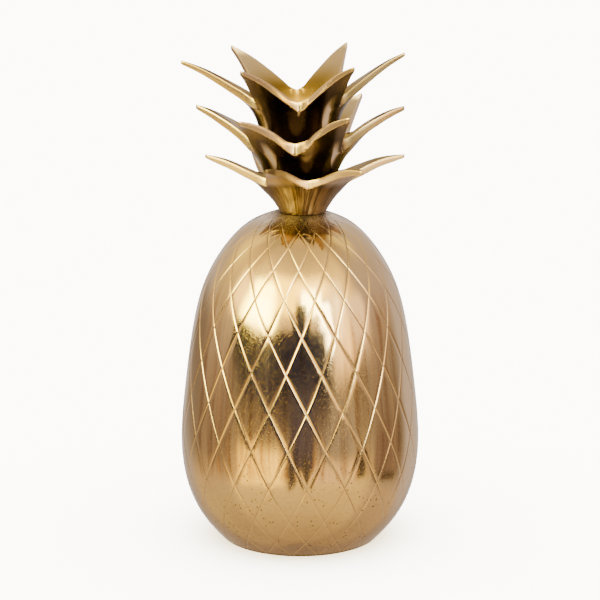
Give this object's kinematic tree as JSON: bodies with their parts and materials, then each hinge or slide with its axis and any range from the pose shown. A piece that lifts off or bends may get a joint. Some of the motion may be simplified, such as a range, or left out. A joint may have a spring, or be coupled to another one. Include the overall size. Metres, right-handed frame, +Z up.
{
  "type": "decorative pineapple",
  "caption": "Standing metal pineapple ornament: a grooved egg-shaped fruit with a flat foot, and nested open cups of pointed flared leaves on top, in a polished gold finish.",
  "frame": {"origin": "middle of the flat foot, on the surface that the object stands on", "axes": "+Z up along the fruit's axis, -Y towards the front of the picture, +X to its right"},
  "size_m": [0.147, 0.147, 0.3018],
  "materials": {
    "fruit": "polished gold-coloured plate over cast metal, fine vertical brushing and pits",
    "lower_leaves": "polished gold-coloured plate, a little browner",
    "middle_leaves": "polished gold-coloured plate, ground edges",
    "upper_leaves": "polished gold-coloured plate, ground edges"
  },
  "bodies": {
    "root": {"fruit_body": "fruit", "lower_leaf_cup": "lower_leaves", "middle_leaf_cup": "middle_leaves", "upper_leaf_cup": "upper_leaves"}
  },
  "joints": []
}
